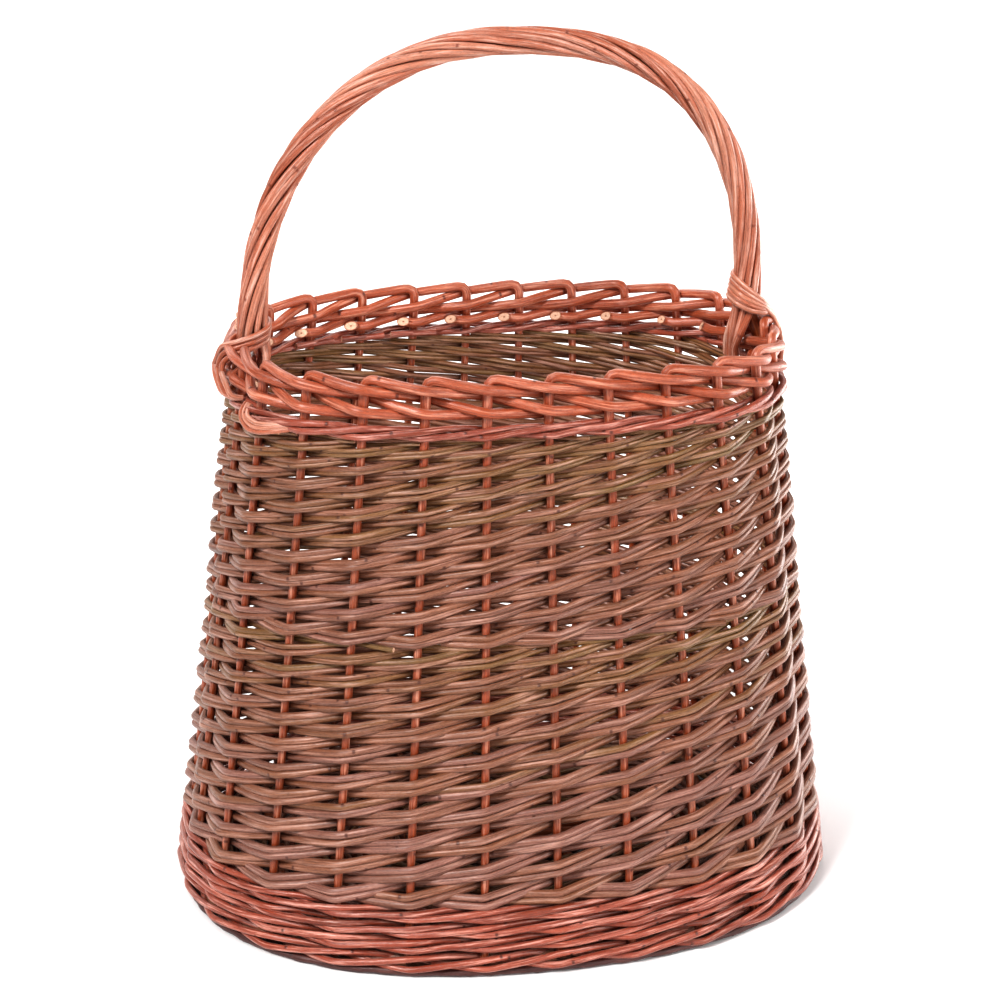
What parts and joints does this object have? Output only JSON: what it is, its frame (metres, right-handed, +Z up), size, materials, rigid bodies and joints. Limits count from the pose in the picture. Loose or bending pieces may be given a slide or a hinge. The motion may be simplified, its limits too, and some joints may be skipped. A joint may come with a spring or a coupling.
{
  "type": "woven basket",
  "caption": "Oval woven willow basket that tapers towards its open top, with a plaited border and a fixed, roped bow handle across its length.",
  "frame": {"origin": "centre of the oval base, on the floor that the basket stands on", "axes": "+Z up, +X along the basket's long axis, in the plane of the handle"},
  "size_m": [0.4118, 0.3262, 0.5228],
  "materials": {
    "buff_willow": "peeled and boiled willow, reddish brown, satin",
    "brown_willow": "unpeeled brown willow, matt bark",
    "handle_willow": "peeled willow, orange buff, satin"
  },
  "bodies": {
    "root": {"long_sticks": "buff_willow", "cross_sticks": "buff_willow", "base_weave_under": "brown_willow", "base_weave_over": "brown_willow", "foot_wale_1": "buff_willow", "foot_wale_2": "buff_willow", "foot_wale_3": "buff_willow", "foot_wale_4": "buff_willow", "siding_lower": "brown_willow", "siding_upper": "brown_willow", "top_wale": "buff_willow", "stake_01": "buff_willow", "stake_02": "buff_willow", "stake_03": "buff_willow", "stake_04": "buff_willow", "stake_05": "buff_willow", "stake_06": "buff_willow", "stake_07": "buff_willow", "stake_08": "buff_willow", "stake_09": "buff_willow", "stake_10": "buff_willow", "stake_11": "buff_willow", "stake_12": "buff_willow", "stake_13": "buff_willow", "stake_14": "buff_willow", "stake_15": "buff_willow", "stake_16": "buff_willow", "stake_17": "buff_willow", "stake_18": "buff_willow", "stake_19": "buff_willow", "stake_20": "buff_willow", "stake_21": "buff_willow", "stake_22": "buff_willow", "stake_23": "buff_willow", "stake_24": "buff_willow", "stake_25": "buff_willow", "stake_26": "buff_willow", "handle_bow": "handle_willow", "handle_roping": "handle_willow", "lashing_right": "handle_willow", "lashing_left": "handle_willow", "lashing_tails_right": "handle_willow", "lashing_tails_left": "handle_willow"}
  },
  "joints": []
}
